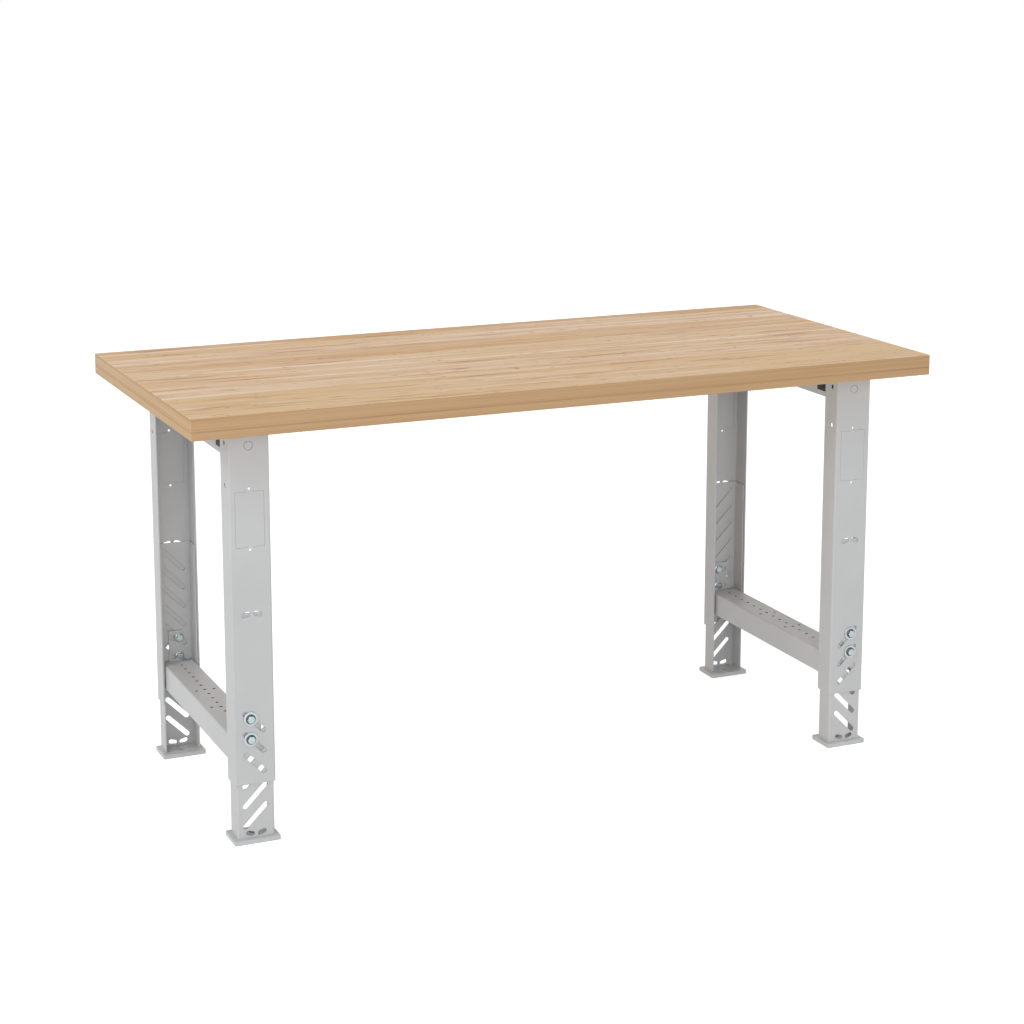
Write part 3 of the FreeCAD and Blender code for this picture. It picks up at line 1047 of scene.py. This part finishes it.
beech_top = oiled_beech("oiled_beech")
beech_front = beech_side("beech_long_side", "#BD9D77", "#B7956D", "#AD875D", "#A0764C")
beech_end = beech_side("beech_end", "#CDAF88", "#C29E75", "#AF875B", "#A57646")


def worktop():
    """Return the shape of the slab."""
    x, y = top_length / 2, top_depth / 2
    outline = rounded([(-x, -y), (x, -y), (x, y), (-x, y)], top_corner)
    points, normals, faces = cut_sheet(outline, [], top_thickness, top_ease)
    lift = Vector((0, 0, top_underside + top_thickness / 2))
    return [point + lift for point in points], normals, faces


top_piece = make_piece("worktop", "bench", "top_wood", beech_top, *worktop())
top_piece.data.materials.append(beech_front)
top_piece.data.materials.append(beech_end)
steep = math.sqrt(0.5)
for polygon in top_piece.data.polygons:
    if abs(polygon.normal.y) > steep:
        polygon.material_index = 1
    elif abs(polygon.normal.x) > steep:
        polygon.material_index = 2


# Top screws
# Eight flanged hexagon wood screws of zinc-plated steel, driven up through the rails. Their
# collars bear on the rails' webs, and their threads bite into the wood.
screw_diameter = 7.9
screw_length = 34.0
screw_flats = 12.7
screw_head_height = 5.0
screw_collar = 18.0
screw_collar_thickness = 1.6
screw_seat = 860.9


def top_screw():
    """Return a screw with its head upwards and its seat at height zero."""
    radius = screw_diameter / 2
    return solid_turning(thread_rings(-screw_length, screw_length - sheet, radius)
                         + [ring(0, radius)]
                         + flanged_head(screw_flats, screw_collar, screw_collar_thickness,
                                        screw_collar_thickness + screw_head_height))


def face_down(point, x, y, z):
    """Turn an upright fastener's point so that its head faces the floor."""
    return Vector((x + point.x, y - point.y, z - point.z))


points, normals, faces = copies(*top_screw(), face_down,
                                [(0, y, screw_seat) for y in screw_places])
for side in sides:
    make_piece(side + "_top_screws", "bench", "zinc", bright_zinc, at_side(points, side),
               normals, faces)


# Studio
# A plain white floor, clear from below, white light from all round, and two large soft
# lamps far off: one high on the left and one in front. The floor has a half for each side
# frame, which stays under its feet when they slide out and the bench rises.
floor_half = 40.0
floor_drop = 0.0002
floor_glow = 0.62
room_light = 0.59
lamps = (("left", (-10.0, -3.5, 8.0), 6.0, 500.0), ("front", (-2.0, -14.0, 4.0), 8.0, 600.0))
lamp_target = Vector((0, 0, 0.5))


def background_rays(tree):
    """Return a node that gives 1 to the rays that show the background."""
    ray = add(tree, "ShaderNodeLightPath")
    mirrored = add(tree, "ShaderNodeMath", {0: ray.outputs["Is Camera Ray"],
                                            1: ray.outputs["Is Glossy Ray"]})
    return add(tree, "ShaderNodeMath", {0: mirrored, 1: ray.outputs["Is Transmission Ray"]},
               use_clamp=True)


def set_up(name, data, place, sight):
    """Stand a lamp or a camera at a place, looking along a direction."""
    holder = bpy.data.objects.new(name, data)
    holder.location = place
    holder.rotation_euler = sight.to_track_quat("-Z", "Y").to_euler()
    bpy.context.scene.collection.objects.link(holder)
    return holder


white = bpy.data.materials.new("white_floor")
white.use_nodes = True
tree = white.node_tree
tree.nodes.clear()
matt = add(tree, "ShaderNodeBsdfDiffuse", {"Color": linear("#EDEDED")})
glow = add(tree, "ShaderNodeEmission", {"Color": linear("#FFFFFF"), "Strength": floor_glow})
seen = add(tree, "ShaderNodeAddShader", {0: matt, 1: glow})
above = add(tree, "ShaderNodeMixShader", {"Fac": background_rays(tree), 1: matt, 2: seen})
under = add(tree, "ShaderNodeNewGeometry").outputs["Backfacing"]
clear = add(tree, "ShaderNodeBsdfTransparent")
one_sided = add(tree, "ShaderNodeMixShader", {"Fac": under, 1: above, 2: clear})
add(tree, "ShaderNodeOutputMaterial", {"Surface": one_sided})
for side, x0, x1 in (("left", -floor_half, 0.0), ("right", 0.0, floor_half)):
    floor_mesh = bpy.data.meshes.new(side + "_floor")
    floor_mesh.from_pydata([(x0, -floor_half, 0), (x1, -floor_half, 0), (x1, floor_half, 0),
                            (x0, floor_half, 0)], [], [(0, 1, 2, 3)])
    floor_mesh.materials.append(white)
    floor = bpy.data.objects.new(side + "_floor", floor_mesh)
    floor.location.z = -floor_drop
    bpy.context.scene.collection.objects.link(floor)
    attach(floor, f"front_{side}_foot")

world = bpy.data.worlds.new("studio")
bpy.context.scene.world = world
world.use_nodes = True
tree = world.node_tree
tree.nodes.clear()
power = add(tree, "ShaderNodeMapRange", {"Value": background_rays(tree),
                                         "To Min": room_light, "To Max": 1.0})
sky = add(tree, "ShaderNodeBackground", {"Color": linear("#FFFFFF"), "Strength": power})
add(tree, "ShaderNodeOutputWorld", {"Surface": sky})

for name, place, size, watts in lamps:
    lamp = bpy.data.lights.new(name, "AREA")
    lamp.shape = "SQUARE"
    lamp.size = size
    lamp.energy = watts
    set_up(name, lamp, place, lamp_target - Vector(place))


# Camera
# The photograph's view, from the front and left and above the top. It dips a little and
# takes part of the photograph's downward shift, so that the other views aren't cut off.
camera_place = Vector((-1.98344, -4.47685, 1.80781))
camera_turn = 0.4172
camera_dip = 0.1882
camera_shift = -0.14
sensor_width = 36.0
focal_share = 2260.11 / 1024
camera = bpy.data.cameras.new("camera")
camera.sensor_width = sensor_width
camera.lens = sensor_width * focal_share
camera.shift_y = camera_shift
sight = Vector((math.sin(camera_turn) * math.cos(camera_dip),
                math.cos(camera_turn) * math.cos(camera_dip), -math.sin(camera_dip)))
bpy.context.scene.camera = set_up("camera", camera, camera_place, sight)
bpy.context.scene.view_settings.view_transform = "Standard"
